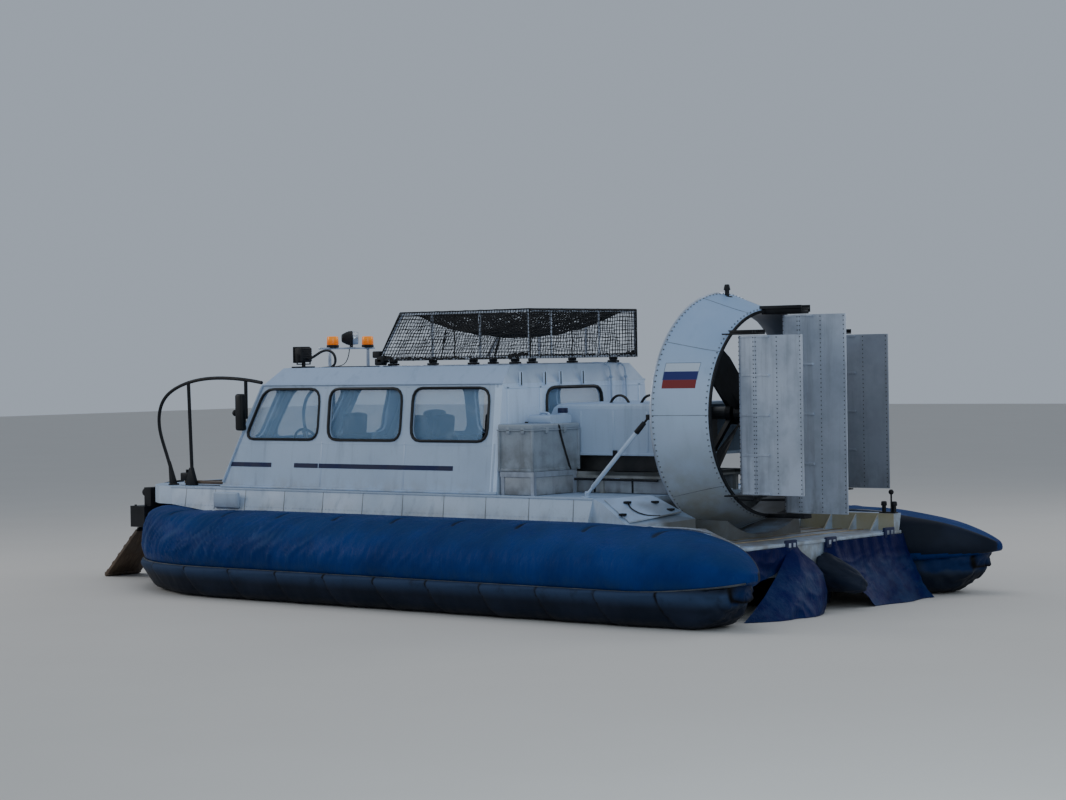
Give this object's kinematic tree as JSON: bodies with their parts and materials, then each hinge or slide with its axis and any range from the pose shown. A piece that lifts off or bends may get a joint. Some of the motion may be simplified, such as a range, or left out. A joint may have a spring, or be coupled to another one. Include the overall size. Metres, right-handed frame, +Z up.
{
  "type": "amphibious hovercraft",
  "caption": "Passenger hovercraft with a flexible skirt, raised cabin, roof rack, and a ducted pusher propeller with rudders behind it.",
  "frame": {"origin": "bottom centre of the bounding box: on the ground under the skirt, amidships", "axes": "+X towards the bow, +Y to port, +Z up"},
  "size_m": [9.5496, 4.73, 3.02],
  "materials": {
    "hull_paint": "weathered white paint on riveted aluminium",
    "cabin_paint": "weathered white paint",
    "bare_aluminium": "bare riveted sheet, streaked",
    "bag_blue": "coated blue fabric, creased and dusty",
    "skirt_black": "coated black fabric, scuffed and sandy",
    "black_paint": "black paint, chipped",
    "glass": "tinted, dusty",
    "interior": "dark grey trim",
    "machinery": "oily dark castings",
    "plank": "wet brown boards",
    "net": "knotted black cord"
  },
  "bodies": {
    "craft": {"hull": "hull_paint", "bow_bag": "bag_blue", "bow_skirt": "skirt_black", "side_bag_port": "bag_blue", "side_bag_starboard": "bag_blue", "side_skirt_port": "skirt_black", "side_skirt_starboard": "skirt_black", "keel_bag": "skirt_black", "stern_curtain_starboard": "bag_blue", "stern_finger": "bag_blue", "stern_curtain_port": "bag_blue", "cabin_side_port": "cabin_paint", "cabin_side_starboard": "cabin_paint", "side_glass_port": "glass", "side_glass_starboard": "glass", "cabin_roof": "cabin_paint", "cabin_aft_wall": "cabin_paint", "aft_glass": "glass", "cabin_front": "cabin_paint", "corner_glass_port": "glass", "corner_glass_starboard": "glass", "front_seat_port": "interior", "front_seat_starboard": "interior", "middle_seat_port": "interior", "middle_seat_starboard": "interior", "rear_bench": "interior", "dashboard": "interior", "mirror_port": "black_paint", "mirror_starboard": "black_paint", "bow_rail_port": "black_paint", "bow_rail_starboard": "black_paint", "bow_platform": "black_paint", "roof_rack": "bare_aluminium", "cargo_net": "net", "roof_lamps": "black_paint", "searchlight_port": "black_paint", "engine_bed": "black_paint", "engine": "machinery", "locker": "bare_aluminium", "locker_frame": "bare_aluminium", "canister": "cabin_paint", "duct": "cabin_paint", "prop_support": "black_paint", "duct_brace_port": "cabin_paint", "duct_brace_starboard": "cabin_paint", "bollards": "black_paint"},
    "propeller": {"propeller": "black_paint"},
    "rudder_middle": {"rudder_middle": "bare_aluminium"},
    "rudder_port": {"rudder_port": "bare_aluminium"},
    "rudder_starboard": {"rudder_starboard": "bare_aluminium"},
    "steering_wheel": {"steering_wheel": "black_paint"},
    "bow_hatch": {"bow_hatch": "cabin_paint", "hatch_glass": "glass"},
    "boarding_ramp": {"boarding_ramp": "plank"},
    "engine_cover": {"engine_cover": "cabin_paint"},
    "shoulder_hatch_port": {"shoulder_hatch_port": "cabin_paint"},
    "shoulder_hatch_starboard": {"shoulder_hatch_starboard": "cabin_paint"}
  },
  "joints": [
    {"name": "propeller_spin", "type": "hinge", "parent": "craft", "child": "propeller", "pos_m": [-3.2348, 0, 1.8], "axis": [1, 0, 0], "continuous": true},
    {"name": "rudder_turn", "type": "hinge", "parent": "craft", "child": "rudder_middle", "pos_m": [-3.8478, 0, 1.8], "axis": [0, 0, 1], "range_deg": [-30, 30]},
    {"name": "rudder_port_turn", "type": "hinge", "parent": "craft", "child": "rudder_port", "pos_m": [-3.8478, 0.71, 1.8], "axis": [0, 0, 1], "range_deg": [-30, 30]},
    {"name": "rudder_starboard_turn", "type": "hinge", "parent": "craft", "child": "rudder_starboard", "pos_m": [-3.8478, -0.71, 1.8], "axis": [0, 0, 1], "range_deg": [-30, 30]},
    {"name": "steering", "type": "hinge", "parent": "craft", "child": "steering_wheel", "pos_m": [1.9852, 0.61, 1.48], "axis": [-0.9061, 0, 0.423], "range_deg": [-120, 120]},
    {"name": "bow_hatch_hinge", "type": "hinge", "parent": "craft", "child": "bow_hatch", "pos_m": [2.3602, 0, 2.172], "axis": [0, -1, 0], "range_deg": [0, 75]},
    {"name": "ramp_hinge", "type": "hinge", "parent": "craft", "child": "boarding_ramp", "pos_m": [4.2252, 0.8, 0.53], "axis": [0, -1, 0], "range_deg": [0, 40]},
    {"name": "engine_cover_hinge", "type": "hinge", "parent": "craft", "child": "engine_cover", "pos_m": [-2.0148, -0.5, 1.41], "axis": [1, 0, 0], "range_deg": [0, 30]},
    {"name": "shoulder_hatch_port_hinge", "type": "hinge", "parent": "craft", "child": "shoulder_hatch_port", "pos_m": [-2.5198, 1.27, 1.039], "axis": [-0.8612, 0.1931, -0.4701], "range_deg": [0, 90]},
    {"name": "shoulder_hatch_starboard_hinge", "type": "hinge", "parent": "craft", "child": "shoulder_hatch_starboard", "pos_m": [-2.5198, -1.27, 1.039], "axis": [0.8612, 0.1931, 0.4701], "range_deg": [0, 90]}
  ],
  "couplings": [
    {"joint": "rudder_port_turn", "follows": "rudder_turn", "ratio": 1},
    {"joint": "rudder_starboard_turn", "follows": "rudder_turn", "ratio": 1},
    {"joint": "steering", "follows": "rudder_turn", "ratio": 4}
  ]
}
